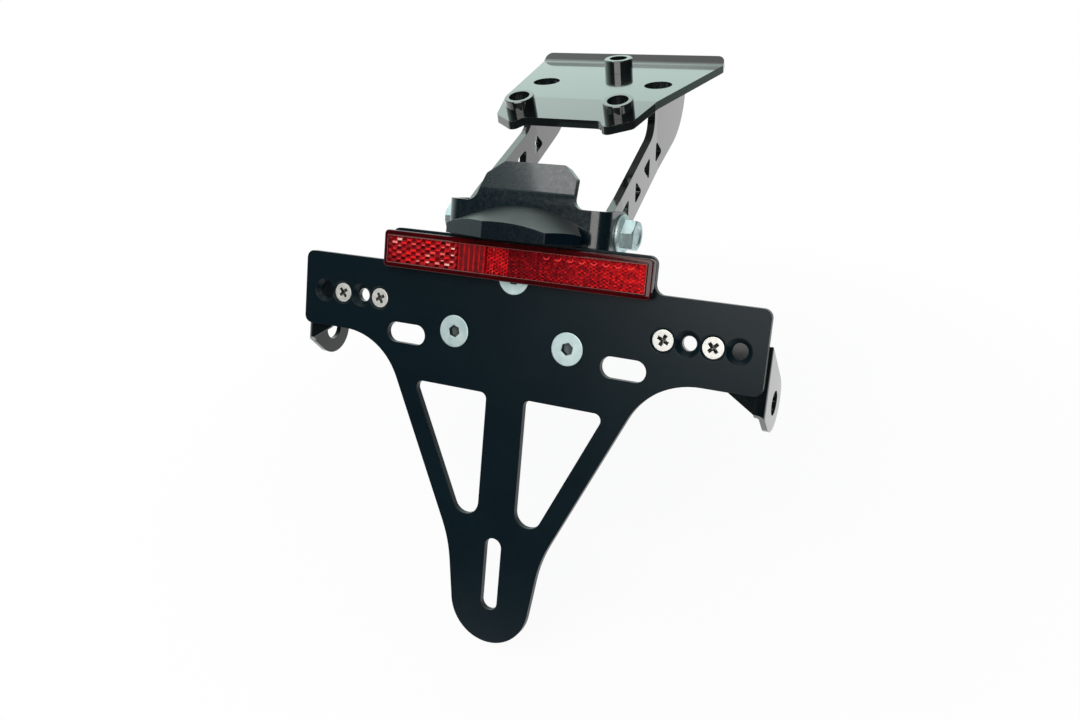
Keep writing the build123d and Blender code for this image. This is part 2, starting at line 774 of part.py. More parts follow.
# Indicator brackets: a leg behind the carrier and an ear folded back with a hole for the stalk
wing_fold_u = wing_outer - wing_bend_r - wing_lap
with BuildPart() as wing_ear:
    with BuildSketch(above.offset(wing_lobe_v)):
        with BuildLine():
            FilletPolyline(
                (wing_fold_u, carrier_t),
                (wing_outer, carrier_t),
                (wing_outer, wing_lobe_r - wing_lobe_n),
                radius=wing_bend_r,
            )
            offset(amount=wing_t, side=Side.LEFT)
        make_face()
    extrude(amount=4 * wing_lobe_r, both=True)
    with BuildSketch(side):
        with Locations((wing_lobe_v, wing_lobe_n)):
            Circle(wing_lobe_r)
        with BuildLine():
            Polyline(
                (wing_low_v, bracket_n),
                (wing_top_v, bracket_n),
                (wing_top_v, wing_back_n),
                (wing_low_v, wing_back_n),
                close=True,
            )
        make_face()
        make_hull()
    extrude(amount=wing_outer, mode=Mode.INTERSECT)

with BuildPart() as right_indicator_bracket:
    with BuildSketch(face.offset(bracket_n)) as wing_leg:
        with BuildLine():
            Polyline(
                (wing_root_u, -wing_half_h),
                (wing_knee_u, -wing_half_h),
                (wing_fold_u, wing_low_v),
                (wing_fold_u, wing_top_v),
                (wing_knee_u, wing_half_h),
                (wing_root_u, wing_half_h),
                close=True,
            )
        make_face()
        fillet(wing_leg.vertices().filter_by(lambda p: p.X < wing_knee_u + 1), wing_corner_r)
        with Locations(*[(u, 0) for u in row_places[:wing_holes]]):
            Circle(wing_hole_d / 2, mode=Mode.SUBTRACT)
    extrude(amount=-wing_t)
    add(wing_ear.part)
    with BuildSketch(side.offset(wing_outer)):
        with Locations((wing_lobe_v, wing_lobe_n)):
            Circle(wing_bore_d / 2)
    extrude(amount=-wing_t, mode=Mode.SUBTRACT)
right_indicator_bracket.part.label = "right_indicator_bracket"
export_step(right_indicator_bracket.part, "parts/right_indicator_bracket.step")

with BuildPart() as left_indicator_bracket:
    mirror(right_indicator_bracket.part, about=Plane.YZ)
left_indicator_bracket.part.label = "left_indicator_bracket"
export_step(left_indicator_bracket.part, "parts/left_indicator_bracket.step")

# Screws and nuts that hold the indicator brackets
wing_screw_len = -wing_screw_sunk - wing_back_n + wing_nut_h + wing_screw_end
with BuildPart() as indicator_screws:
    with Locations(*[face * Pos(u, v, -wing_screw_sunk) for u, v in row_screw_places]):
        add(countersunk_screw(wing_screw_head_d, wing_screw_d, wing_screw_len))
indicator_screws.part.label = "indicator_screws"
export_step(indicator_screws.part, "parts/indicator_screws.step")

with BuildPart() as indicator_nuts:
    with Locations(*[face * Pos(u, v, wing_back_n - wing_nut_h) for u, v in row_screw_places]):
        add(hex_nut(wing_nut_af, wing_nut_h, wing_screw_d))
indicator_nuts.part.label = "indicator_nuts"
export_step(indicator_nuts.part, "parts/indicator_nuts.step")
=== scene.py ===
"""Looks of the tail tidy: coated sheet, plated screws, reflector prisms, lamp, white studio."""
import math

import bmesh
import bpy
import numpy as np
from mathutils import Matrix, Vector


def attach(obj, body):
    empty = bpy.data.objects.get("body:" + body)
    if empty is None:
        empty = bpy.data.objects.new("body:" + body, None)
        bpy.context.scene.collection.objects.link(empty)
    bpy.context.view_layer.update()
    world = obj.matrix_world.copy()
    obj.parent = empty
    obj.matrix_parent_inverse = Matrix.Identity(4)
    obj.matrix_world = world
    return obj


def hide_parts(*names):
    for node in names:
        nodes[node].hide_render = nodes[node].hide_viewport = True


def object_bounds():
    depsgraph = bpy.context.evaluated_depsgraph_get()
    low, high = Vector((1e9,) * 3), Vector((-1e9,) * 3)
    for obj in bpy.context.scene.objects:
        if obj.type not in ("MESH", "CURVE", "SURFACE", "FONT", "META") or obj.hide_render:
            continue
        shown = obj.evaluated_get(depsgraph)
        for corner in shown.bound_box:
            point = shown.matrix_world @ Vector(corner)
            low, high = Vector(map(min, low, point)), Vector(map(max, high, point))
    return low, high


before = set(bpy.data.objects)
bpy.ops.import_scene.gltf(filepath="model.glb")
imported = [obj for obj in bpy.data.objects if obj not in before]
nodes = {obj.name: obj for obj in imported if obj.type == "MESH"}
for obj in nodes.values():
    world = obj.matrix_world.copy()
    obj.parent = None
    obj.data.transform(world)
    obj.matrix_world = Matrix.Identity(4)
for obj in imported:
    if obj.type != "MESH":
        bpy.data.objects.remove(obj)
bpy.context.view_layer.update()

scene = bpy.context.scene
MM = 0.001

# The pivot line through the two arms, and the axes seen outwards from either side, in millimetres
PIVOT_Y, PIVOT_Z = -82.8, -35.6
PIVOT_BOLT_X, PIVOT_NUT_X = 31.9, 26.2
RIGHT_AXES = np.array([[0.0, 1.0, 0.0], [0.0, 0.0, 1.0], [1.0, 0.0, 0.0]])
LEFT_AXES = np.array([[0.0, -1.0, 0.0], [0.0, 0.0, 1.0], [-1.0, 0.0, 0.0]])

# The carrier's leaning front face: u across, v up the sheet and n out of it, in millimetres;
# the pivot lies above and behind the face's origin
LEAN = math.radians(22.17)
PIVOT_V, PIVOT_N = 32.55, -18.05
FACE_AXES = np.array([
    [1.0, 0.0, 0.0],
    [0.0, math.sin(LEAN), math.cos(LEAN)],
    [0.0, -math.cos(LEAN), math.sin(LEAN)],
])
BACK_AXES = FACE_AXES * np.array([[1.0], [-1.0], [-1.0]])
FACE_ORIGIN = np.array([0.0, PIVOT_Y, PIVOT_Z]) - np.array([0.0, PIVOT_V, PIVOT_N]) @ FACE_AXES

# Places of the screws on that face, the levels that they seat at and how far each is turned
BOLT_PLACES = ((-22.77, -7.98), (22.77, -7.98), (0.0, 14.2))
BOLT_TURNS = (12, -8, 30)
BOLT_LEVEL = 0.4
WING_PLACES = ((-73.84, 0.0), (-56.7, 0.0), (56.7, 0.0), (73.84, 0.0))
WING_TURNS = (40, 27, -26, 44)
WING_LEVEL = -0.35
LAMP_SCREW_PLACES = ((-17.5, 31.6), (17.5, 31.6))
PANEL_BACK = -5.0
WING_BACK = -4.5

# How screws are drawn: steps round and along a thread, chamfers, and the bands of a recess, which
# carry painted shade
RING_STEPS = 96
THREAD_STEPS = 8
CHAMFER_SHARE = 0.475
CHAMFER_SLOPE = 0.58
SHANK_END = 0.8
FLANGE_EDGE = 0.4
SHADED_RECESS_BANDS = 3
SCREW_CREASE = 25

# How meshes are closed, in metres: points this near are joined, edges this short are taken out
WELD, SLIVER = 2e-7, 1e-7

# How far the carrier's tip sinks, in metres, when it swings to the end of its tilt
TIP_DROP = 0.0185


# Shapes

def face_point(u, v, n):
    """Point of the leaning face: its origin plus u, v and n along its axes, in millimetres."""
    return FACE_ORIGIN + np.array([u, v, n]) @ FACE_AXES


def set_in(points, origin, axes):
    """Local points carried to origin plus x, y and z along the three axes, in metres."""
    return (origin + points @ axes) * MM


def grid_quads(rows, cols, wrap):
    """Four corners of each cell of a grid numbered row by row; wrap joins the last column to the
    first."""
    i = np.arange(rows - 1)[:, None]
    j = np.arange(cols if wrap else cols - 1)[None, :]
    k = (j + 1) % cols
    corners = [i * cols + j, i * cols + k, (i + 1) * cols + k, (i + 1) * cols + j]
    return np.stack(corners, axis=-1).reshape(-1, 4)


def make_piece(name, patches, material, body, crease):
    """One mesh from patches of points, quads and a mark per quad: doubles merged, faces outwards,
    sharp past the crease."""
    starts = np.cumsum([0] + [len(p) for p, _, _ in patches[:-1]])
    points = np.concatenate([p for p, _, _ in patches])
    quads = np.concatenate([q + s for (_, q, _), s in zip(patches, starts)])
    marks = np.concatenate([np.broadcast_to(m, len(q)) for _, q, m in patches])
    mesh = bpy.data.meshes.new(name)
    mesh.from_pydata(points.tolist(), [], quads.tolist())
    mark = mesh.attributes.new("mark", "FLOAT", "FACE")
    mark.data.foreach_set("value", marks.astype(np.float32))
    shell = bmesh.new()
    shell.from_mesh(mesh)
    bmesh.ops.remove_doubles(shell, verts=shell.verts, dist=WELD)
    bmesh.ops.dissolve_degenerate(shell, edges=shell.edges, dist=SLIVER)
    bmesh.ops.recalc_face_normals(shell, faces=shell.faces)
    shell.to_mesh(mesh)
    shell.free()
    mesh.polygons.foreach_set("use_smooth", np.ones(len(mesh.polygons), bool))
    mesh.set_sharp_from_angle(angle=math.radians(crease))
    mesh.materials.append(material)
    piece = bpy.data.objects.new(name, mesh)
    scene.collection.objects.link(piece)
    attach(piece, body)
    return piece


def hexagon(angle, flats):
    """Reach of a hexagon: half its flats over the cosine of the angle from the nearest side's
    middle."""
    turn = np.mod(angle + math.pi / 6, math.pi / 3) - math.pi / 6
    return flats / 2 / np.cos(turn)


def cross(angle, reach, half_width):
    """Reach of a cross recess: the nearer of an arm's end and an arm's side along the angle."""
    turn = np.abs(np.mod(angle + math.pi / 4, math.pi / 2) - math.pi / 4)
    return np.minimum(reach / np.cos(turn), half_width / np.maximum(np.sin(turn), 1e-6))


def ring_angles(*corners):
    """Angles round an axis: an even ring with the given corner angles added in each quarter."""
    even = np.linspace(0, 2 * math.pi, RING_STEPS, endpoint=False)
    extra = [np.mod(c + q * math.pi / 2, 2 * math.pi) for c in corners for q in range(4)]
    return np.unique(np.round(np.concatenate([even, np.array(extra)]), 9))


def turned(rows, ring, painted_bands=0):
    """Surface round the Z axis: rows of radius and height, each even or varying by angle; the
    first bands, as many as are given, are marked for painted shade."""
    radius = np.stack([np.broadcast_to(r, ring.shape) for r, _ in rows])
    height = np.stack([np.broadcast_to(z, ring.shape) for _, z in rows])
    points = np.stack([radius * np.cos(ring), radius * np.sin(ring), height], axis=-1)
    marks = np.repeat(np.arange(len(rows) - 1) < painted_bands, len(ring)).astype(float)
    return points.reshape(-1, 3), grid_quads(len(rows), len(ring), True), marks


def thread(radius, pitch, top, low, ring):
    """Screw thread: the radius less a triangle wave of height over pitch minus the share of a
    turn."""
    height = np.arange(top, low, -pitch / THREAD_STEPS)
    wave = np.abs(2 * np.mod(height[:, None] / pitch - ring / (2 * math.pi), 1) - 1)
    return [(radius - 0.5 * pitch * w, h) for w, h in zip(wave, height)]


def shank_end(shank_r, length):
    """Last rows of a threaded shank: its narrowed end and the middle of that end."""
    return [(SHANK_END * shank_r, -length), (0, -length)]


def socket_screw(head_r, shank_r, length, flats, depth, pitch, ring):
    """Countersunk screw turned from the floor of its hexagon socket over the head and down to its
    threaded end."""
    socket = hexagon(ring, flats)
    neck = shank_r - head_r
    head = [
        (0, -depth - 0.4), (0.9 * socket, -depth), (socket, -depth), (socket, -0.2),
        (socket + 0.2, 0), (head_r - 0.4, 0), (head_r - 0.25, 0), (head_r - 0.08, -0.05),
        (head_r - 0.16, -0.16), (shank_r, neck),
    ]
    shank = thread(shank_r, pitch, neck - 1, 0.6 - length, ring)
    return turned(head + shank + shank_end(shank_r, length), ring, SHADED_RECESS_BANDS)


def cross_screw(head_r, shank_r, length, reach, half_width, depth, pitch, ring):
    """Countersunk screw turned from the bottom of its cross recess over the head and down to its
    threaded end."""
    recess = cross(ring, reach, half_width)
    neck = shank_r - head_r
    head = [
        (0, -depth), (0.5 * recess, -0.9 * depth), (0.92 * recess, -0.25), (recess, -0.06),
        (recess + 0.1, 0), (head_r - 0.3, 0), (head_r - 0.2, 0), (head_r - 0.06, -0.04),
        (head_r - 0.12, -0.12), (shank_r, neck),
    ]
    shank = thread(shank_r, pitch, neck - 1, 0.5 - length, ring)
    return turned(head + shank + shank_end(shank_r, length), ring, SHADED_RECESS_BANDS)


def pan_screw(head_r, head_h, shank_r, length, reach, half_width, ring):
    """Pan-headed screw turned from its cross recess over a rounded head to a plain shank."""
    recess = cross(ring, reach, half_width)
    head = [
        (0, head_h - 1.3), (0.5 * recess, head_h - 1.2), (recess, head_h - 0.05),
        (recess + 0.1, head_h), (head_r - 0.75, head_h), (head_r - 0.35, head_h - 0.3),
        (head_r - 0.08, head_h - 0.8), (head_r, head_h - 1.3), (head_r, 0),
    ]
    return turned(head + [(shank_r, 0), (shank_r, -length), (0, -length)], ring, SHADED_RECESS_BANDS)


def flange_bolt(flange_r, flange_t, flats, head_h, shank_r, length, pitch, ring):
    """Flange bolt turned from its dished hexagon head over the flange and down the shank to its
    threaded end."""
    side = hexagon(ring, flats)
    crown = CHAMFER_SHARE * flats
    top = flange_t + head_h
    head = [
        (0, top - 0.45), (0.6 * crown, top - 0.45), (0.78 * crown, top), (crown, top),
        (side, top - CHAMFER_SLOPE * (side - crown)), (side, flange_t + 0.3),
        (side + 0.25, flange_t), (flange_r - 0.7, flange_t), (flange_r - 0.1, 0.55 * flange_t),
        (flange_r, FLANGE_EDGE * flange_t), (flange_r, 0), (shank_r, 0),
    ]
    shank = thread(shank_r, pitch, -6, 0.6 - length, ring)
    return turned(head + shank + shank_end(shank_r, length), ring)


def nut(flats, height, bore_r, ring, flange_r=0, flange_t=0):
    """Hexagon nut: a closed loop of rows from the bore over the seat, the sides and the chamfered
    top back down the bore."""
    side = hexagon(ring, flats)
    crown = CHAMFER_SHARE * flats
    bevel = CHAMFER_SLOPE * (side - crown)
    if flange_r:
        seat = [
            (flange_r, 0), (flange_r, FLANGE_EDGE * flange_t), (flange_r - 0.7, flange_t),
            (side + 0.2, flange_t), (side, flange_t + 0.3),
        ]
    else:
        seat = [(crown, 0), (side, bevel)]
    top = [(side, height - bevel), (crown, height), (bore_r + 0.4, height), (bore_r, height - 0.4)]
    return turned([(bore_r, 0)] + seat + top + [(bore_r, 0)], ring)


def scatter(shape, places, axes, level, turns=(0, 0, 0, 0)):
    """A shape repeated at places on the leaning face, at one level above it, each turned by its
    own angle in degrees."""
    points, quads, marks = shape
    copies = []
    for (u, v), angle in zip(places, np.radians(turns)):
        cos, sin = math.cos(angle), math.sin(angle)
        swing = np.array([[cos, sin, 0], [-sin, cos, 0], [0, 0, 1]])
        copies.append((set_in(points @ swing, face_point(u, v, level), axes), quads, marks))
    return copies


def on_pivot(shape, reach, right_axes, left_axes):
    """A shape set on the pivot line on either side, at the same reach from the middle."""
    points, quads, _ = shape
    return [(set_in(points, np.array([x, PIVOT_Y, PIVOT_Z]), axes), quads, 0.0)
            for x, axes in ((reach, right_axes), (-reach, left_axes))]


# Materials

# The middle range of a noise, and how far a face of the lamp looks along the way of its top,
# where its paler colour is a painted sheen
NOISE_RANGE = (0.3, 0.7)
TOP_WAY = (0.0, 0.1, 0.995)
TOP_RANGE = (0.88, 0.98)
EDGE_SAMPLES = 6


def shader(name):
    """New material with its nodes, links and shader, ready for a procedural finish."""
    material = bpy.data.materials.new(name)
    material.use_nodes = True
    tree = material.node_tree
    return material, tree.nodes, tree.links, tree.nodes["Principled BSDF"]


def noise(parts, links, scale, detail, stretch=None):
    """Noise over the piece's own coordinates, scale in cells per metre; stretch draws it out along
    an axis."""
    place = parts.new("ShaderNodeTexCoord").outputs["Object"]
    pattern = parts.new("ShaderNodeTexNoise")
    pattern.inputs["Scale"].default_value = scale
    pattern.inputs["Detail"].default_value = detail
    if stretch:
        mapping = parts.new("ShaderNodeMapping")
        mapping.inputs["Scale"].default_value = stretch
        links.new(place, mapping.inputs["Vector"])
        place = mapping.outputs["Vector"]
    links.new(place, pattern.inputs["Vector"])
    return pattern.outputs["Fac"]


def blend_colours(parts, links, factor, first, second, low=0.35, high=0.65):
    """Colour ramp from one colour to another between two values of a pattern."""
    ramp = parts.new("ShaderNodeValToRGB")
    ramp.color_ramp.elements[0].position = low
    ramp.color_ramp.elements[0].color = (*first, 1)
    ramp.color_ramp.elements[1].position = high
    ramp.color_ramp.elements[1].color = (*second, 1)
    links.new(factor, ramp.inputs["Fac"])
    return ramp.outputs["Color"]


def map_range(parts, links, value, source, target, ease="LINEAR"):
    """A value carried from the source range to the target range and held at its ends."""
    scale = parts.new("ShaderNodeMapRange")
    scale.interpolation_type = ease
    scale.inputs["From Min"].default_value, scale.inputs["From Max"].default_value = source
    scale.inputs["To Min"].default_value, scale.inputs["To Max"].default_value = target
    links.new(value, scale.inputs["Value"])
    return scale.outputs["Result"]


def uneven_gloss(parts, links, scale, detail, gloss):
    """Roughness that wanders between two values with a noise's middle range."""
    return map_range(parts, links, noise(parts, links, scale, detail), NOISE_RANGE, gloss)


def grain(parts, links, height, strength, depth, edge=0):
    """Bump from a pattern, over edges that are rounded off in the shading by the given radius."""
    bump = parts.new("ShaderNodeBump")
    bump.inputs["Strength"].default_value = strength
    bump.inputs["Distance"].default_value = depth
    links.new(height, bump.inputs["Height"])
    if edge:
        bevel = parts.new("ShaderNodeBevel")
        bevel.samples = EDGE_SAMPLES
        bevel.inputs["Radius"].default_value = edge
        links.new(bevel.outputs["Normal"], bump.inputs["Normal"])
    return bump.outputs["Normal"]


def fine_grain(parts, links, texture, detail, edge):
    """Bump from a noise, by a texture's cells per metre, strength and depth."""
    scale, strength, depth = texture
    return grain(parts, links, noise(parts, links, scale, detail), strength, depth, edge)


def face_mark(parts):
    """The mark that each face of a piece carries."""
    mark = parts.new("ShaderNodeAttribute")
    mark.attribute_name = "mark"
    return mark.outputs["Fac"]


def marked(parts, links, plain, painted_bands):
    """Colour of a piece that turns to another colour where its faces are marked: painted shade in
    screw recesses, a painted highlight on the reflector cap's raised edge.
    """
    mix = parts.new("ShaderNodeMix")
    mix.data_type = "RGBA"
    links.new(face_mark(parts), mix.inputs["Factor"])
    links.new(plain, mix.inputs["A"])
    links.new(painted_bands, mix.inputs["B"])
    return mix.outputs["Result"]


def coated_sheet(name, first, second, gloss, peel, specular, coat, bend, edge):
    """Powder coat: slow drifts between two near blacks, uneven gloss and a fine orange peel; bend
    is how far it bends light."""
    material, parts, links, bsdf = shader(name)
    drift = noise(parts, links, 45, 3)
    links.new(blend_colours(parts, links, drift, first, second), bsdf.inputs["Base Color"])
    links.new(uneven_gloss(parts, links, 700, 2, gloss), bsdf.inputs["Roughness"])
    links.new(fine_grain(parts, links, peel, 2, edge), bsdf.inputs["Normal"])
    bsdf.inputs["Specular IOR Level"].default_value = specular
    bsdf.inputs["IOR"].default_value = bend
    bsdf.inputs["Coat Weight"].default_value = coat
    bsdf.inputs["Coat IOR"].default_value = bend
    bsdf.inputs["Coat Roughness"].default_value = 0.06
    return material


def plated(name, first, second, gloss, edge):
    """Plated steel: two tints of the plating, with painted shade in recesses, drawn-out fine
    scratches and an uneven gloss."""
    material, parts, links, bsdf = shader(name)
    cloud = noise(parts, links, 260, 4)
    bright = blend_colours(parts, links, cloud, first, second)
    # Painted shade: the plating darkened on the marked recess faces
    painted_shade = blend_colours(parts, links, cloud, [0.1 * c for c in first], [0.2 * c for c in second])
    links.new(marked(parts, links, bright, painted_shade), bsdf.inputs["Base Color"])
    links.new(uneven_gloss(parts, links, 1400, 3, gloss), bsdf.inputs["Roughness"])
    scratches = noise(parts, links, 2200, 3, stretch=(1.0, 0.25, 1.0))
    links.new(grain(parts, links, scratches, 0.25, 0.00002, edge), bsdf.inputs["Normal"])
    bsdf.inputs["Metallic"].default_value = 1.0
    return material


def moulded(name, first, second, gloss, texture, specular, edge=0, pale=None):
    """Moulded plastic or rubber: faint colour drift, uneven gloss and the fine texture of the
    mould; a pale painted highlight where it is marked."""
    material, parts, links, bsdf = shader(name)
    drift = noise(parts, links, 120, 3)
    colour = blend_colours(parts, links, drift, first, second)
    if pale:
        # Painted highlight on the marked faces
        painted_highlight = blend_colours(parts, links, drift, pale, [0.8 * c for c in pale])
        colour = marked(parts, links, colour, painted_highlight)
    links.new(colour, bsdf.inputs["Base Color"])
    links.new(uneven_gloss(parts, links, 900, 2, gloss), bsdf.inputs["Roughness"])
    links.new(fine_grain(parts, links, texture, 3, edge), bsdf.inputs["Normal"])
    bsdf.inputs["Specular IOR Level"].default_value = specular
    return material


def lamp_plastic(name, side, top, side_gloss, top_gloss, side_shine, top_shine, texture, edge):
    """Moulded lamp casing: satin sides and a more shiny top whose paler colour is a painted sheen,
    told apart by how far a face looks upwards."""
    material, parts, links, bsdf = shader(name)
    upwards = parts.new("ShaderNodeVectorMath")
    upwards.operation = "DOT_PRODUCT"
    upwards.inputs[1].default_value = TOP_WAY
    links.new(parts.new("ShaderNodeTexCoord").outputs["Normal"], upwards.inputs[0])

    def by_side(first, second):
        return blend_colours(parts, links, upwards.outputs["Value"], first, second, *TOP_RANGE)

    links.new(by_side(side, top), bsdf.inputs["Base Color"])
    mix = parts.new("ShaderNodeMix")
    links.new(by_side((0, 0, 0), (1, 1, 1)), mix.inputs["Factor"])
    links.new(uneven_gloss(parts, links, 900, 2, side_gloss), mix.inputs["A"])
    links.new(uneven_gloss(parts, links, 2500, 3, top_gloss), mix.inputs["B"])
    links.new(mix.outputs["Result"], bsdf.inputs["Roughness"])
    links.new(by_side([side_shine] * 3, [top_shine] * 3), bsdf.inputs["Specular IOR Level"])
    links.new(fine_grain(parts, links, texture, 3, edge), bsdf.inputs["Normal"])
    return material


def clear_plastic(name, colour, gloss, ripple):
    """Clear moulded plastic: light passes through its colour, with slight flow marks in its
    surface."""
    material, parts, links, bsdf = shader(name)
    links.new(uneven_gloss(parts, links, 500, 2, gloss), bsdf.inputs["Roughness"])
    links.new(fine_grain(parts, links, ripple, 2, 0), bsdf.inputs["Normal"])
    bsdf.inputs["Base Color"].default_value = (*colour, 1)
    bsdf.inputs["Transmission Weight"].default_value = 1.0
    bsdf.inputs["IOR"].default_value = 1.49
    return material


def red_prisms(name, deep, middle, bright, glint):
    """Prism facets: from deep to bright red and on to a pale glint by the mark of each facet, with
    an uneven low gloss; the marks paint light and shade: lit and shaded facets and painted glints."""
    material, parts, links, bsdf = shader(name)
    ramp = parts.new("ShaderNodeValToRGB")
    stops = ramp.color_ramp.elements
    stops[0].color = (*deep, 1)
    stops[1].color = (*glint, 1)
    stops.new(0.4).color = (*middle, 1)
    stops.new(0.8).color = (*bright, 1)
    links.new(face_mark(parts), ramp.inputs["Fac"])
    links.new(ramp.outputs["Color"], bsdf.inputs["Base Color"])
    links.new(uneven_gloss(parts, links, 1500, 2, (0.25, 0.4)), bsdf.inputs["Roughness"])
    bsdf.inputs["Specular IOR Level"].default_value = 0.08
    return material


# Textures are given as cells per metre, strength and depth in metres
gloss_coat = coated_sheet(
    "gloss_black_coat", (0.005, 0.007, 0.008), (0.009, 0.012, 0.013), gloss=(0.08, 0.14),
    peel=(1500, 0.05, 0.00003), specular=0.5, coat=1.0, bend=1.6, edge=0.0002)
bracket_coat = coated_sheet(
    "bracket_black_coat", (0.002, 0.009, 0.014), (0.004, 0.012, 0.017), gloss=(0.18, 0.28),
    peel=(2600, 0.2, 0.00003), specular=0.5, coat=0.5, bend=1.5, edge=0.0004)
carrier_coat = coated_sheet(
    "carrier_black_coat", (0.001, 0.0075, 0.0125), (0.002, 0.0095, 0.0145), gloss=(0.29, 0.33),
    peel=(3200, 0.15, 0.00003), specular=0.25, coat=0.0, bend=1.5, edge=0.0003)
indicator_coat = coated_sheet(
    "indicator_black_coat", (0.003, 0.006, 0.008), (0.006, 0.009, 0.011), gloss=(0.10, 0.16),
    peel=(1500, 0.05, 0.00003), specular=0.3, coat=1.0, bend=1.35, edge=0.0003)
zinc = plated(
    "bright_zinc", (0.62, 0.79, 0.82), (0.76, 0.90, 0.91), gloss=(0.46, 0.60), edge=0.00012)
nickel = plated(
    "bright_nickel", (0.86, 0.85, 0.82), (0.95, 0.94, 0.92), gloss=(0.46, 0.60), edge=0.00012)
# The paler top colour is a painted sheen on the lamp's dome
lamp_black = lamp_plastic(
    "lamp_black_plastic", side=(0.001, 0.006, 0.011), top=(0.012, 0.016, 0.018),
    side_gloss=(0.22, 0.30), top_gloss=(0.30, 0.38), side_shine=0.3, top_shine=1.0,
    texture=(2400, 0.1, 0.00003), edge=0.0005)
base_black = moulded(
    "reflector_black_plastic", (0.008, 0.008, 0.009), (0.014, 0.013, 0.014), gloss=(0.12, 0.22),
    texture=(1800, 0.06, 0.00003), specular=0.5, edge=0.0003)
foam = moulded(
    "foam_pad", (0.012, 0.012, 0.012), (0.03, 0.03, 0.03), gloss=(0.8, 0.95),
    texture=(5200, 0.7, 0.0001), specular=0.2)
grommet_rubber = moulded(
    "grommet_rubber", (0.012, 0.012, 0.012), (0.022, 0.022, 0.022), gloss=(0.6, 0.75),
    texture=(3800, 0.25, 0.00004), specular=0.3, edge=0.0002)
board_lacquer = moulded(
    "board_lacquer", (0.66, 0.69, 0.66), (0.78, 0.80, 0.77), gloss=(0.35, 0.5),
    texture=(2600, 0.1, 0.00002), specular=0.5)
phosphor = moulded(
    "led_phosphor", (0.78, 0.70, 0.22), (0.88, 0.82, 0.42), gloss=(0.18, 0.3),
    texture=(4000, 0.1, 0.00002), specular=0.5, edge=0.0002)
lamp_clear = clear_plastic(
    "lamp_clear_plastic", (0.93, 0.95, 0.96), gloss=(0.06, 0.14), ripple=(1200, 0.08, 0.00002))
# The pale colour is a painted highlight along the top of the cap's raised edge
cap_red = moulded(
    "reflector_red_plastic", (0.036, 0.0006, 0.0015), (0.060, 0.0010, 0.0025), gloss=(0.06, 0.12),
    texture=(1800, 0.05, 0.00002), specular=0.4, edge=0.0002, pale=(0.42, 0.10, 0.09))
prism_red = red_prisms(
    "reflector_prism_red", deep=(0.030, 0.001, 0.002), middle=(0.26, 0.004, 0.009),
    bright=(0.90, 0.015, 0.018), glint=(1.0, 0.62, 0.55))

FINISHES = {
    gloss_coat: ("mount_plate", "front_sleeve", "rear_left_sleeve", "rear_right_sleeve",
                 "left_arm", "right_arm"),
    bracket_coat: ("light_bracket",),
    indicator_coat: ("left_indicator_bracket", "right_indicator_bracket"),
    carrier_coat: ("number_plate_carrier",),
    lamp_black: ("lamp_housing",),
    base_black: ("reflector_base",),
    foam: ("reflector_tape",),
    grommet_rubber: ("lamp_grommet",),
    board_lacquer: ("lamp_board",),
    phosphor: ("lamp_leds",),
    lamp_clear: ("lamp_lens",),
    zinc: ("bracket_screws", "bracket_nuts", "pivot_bolts", "pivot_nuts"),
    nickel: ("indicator_screws", "indicator_nuts", "lamp_screws"),
    cap_red: ("reflector_lens",),
}
for finish, members in FINISHES.items():
    for member in members:
        for place in nodes[member].material_slots:
            place.material = finish


# Screws and nuts, in millimetres

M4_REACH, M4_HALF_WIDTH = 2.1, 0.6
M4_CORNER = math.atan2(M4_HALF_WIDTH, M4_REACH)
hex_ring = ring_angles(math.pi / 6, math.pi / 3)
cross_ring = ring_angles(M4_CORNER, -M4_CORNER, math.pi / 4)

m6_screw = socket_screw(head_r=6.0, shank_r=3.0, length=12.4, flats=4.0, depth=2.2, pitch=1.0,
                        ring=hex_ring)
m6_screws = make_piece(
    "socket_screws", scatter(m6_screw, BOLT_PLACES, FACE_AXES, BOLT_LEVEL, BOLT_TURNS),
    zinc, "plate_unit", SCREW_CREASE)
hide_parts("bracket_screws")

m4_screw = cross_screw(head_r=3.75, shank_r=2.0, length=8.85, reach=M4_REACH,
                       half_width=M4_HALF_WIDTH, depth=1.7, pitch=0.7, ring=cross_ring)
m4_screws = make_piece(
    "cross_screws", scatter(m4_screw, WING_PLACES, FACE_AXES, WING_LEVEL, WING_TURNS),
    nickel, "plate_unit", SCREW_CREASE)
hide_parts("indicator_screws")

lamp_screw = pan_screw(head_r=3.0, head_h=2.2, shank_r=1.5, length=10.2, reach=1.5,
                       half_width=0.45, ring=cross_ring)
lamp_fixings = make_piece(
    "pan_screws", scatter(lamp_screw, LAMP_SCREW_PLACES, BACK_AXES, PANEL_BACK),
    nickel, "plate_unit", SCREW_CREASE)
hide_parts("lamp_screws")

m6_nut = nut(flats=10.0, height=5.5, bore_r=3.3, ring=hex_ring)
m6_nuts = make_piece(
    "bracket_hex_nuts", scatter(m6_nut, BOLT_PLACES, BACK_AXES, PANEL_BACK),
    zinc, "plate_unit", SCREW_CREASE)
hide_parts("bracket_nuts")

m4_nut = nut(flats=7.0, height=3.2, bore_r=2.3, ring=hex_ring)
m4_nuts = make_piece(
    "indicator_hex_nuts", scatter(m4_nut, WING_PLACES, BACK_AXES, WING_BACK),
    nickel, "plate_unit", SCREW_CREASE)
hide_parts("indicator_nuts")

pivot_bolt = flange_bolt(flange_r=7.1, flange_t=1.4, flats=10.0, head_h=4.7, shank_r=3.0,
                         length=13.2, pitch=1.0, ring=hex_ring)
pivots = make_piece(
    "flange_bolts", on_pivot(pivot_bolt, PIVOT_BOLT_X, RIGHT_AXES, LEFT_AXES),
    zinc, "mount_frame", SCREW_CREASE)
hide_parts("pivot_bolts")

